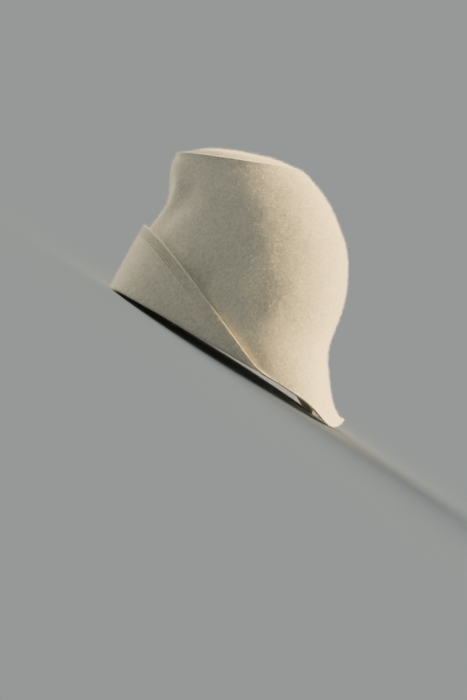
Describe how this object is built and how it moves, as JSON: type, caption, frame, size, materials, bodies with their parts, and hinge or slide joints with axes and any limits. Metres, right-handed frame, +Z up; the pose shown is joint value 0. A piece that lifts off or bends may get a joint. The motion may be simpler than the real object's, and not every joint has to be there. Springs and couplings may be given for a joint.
{
  "type": "felt hat",
  "caption": "Brimless one-piece felt hat with a turned-up front cuff, a forward-leaning oval crown and a flared tail at its slit back edge.",
  "frame": {"origin": "on the surface the hat stands on, under the middle of its bounding box", "axes": "-Y is the hat's front, +Y its back, +X the wearer's left side and +Z up"},
  "size_m": [0.1688, 0.2708, 0.1869],
  "materials": {
    "wool_felt": "thick cream wool felt, matt, with a short raised nap"
  },
  "bodies": {
    "root": {"felt_hat": "wool_felt"}
  },
  "joints": []
}
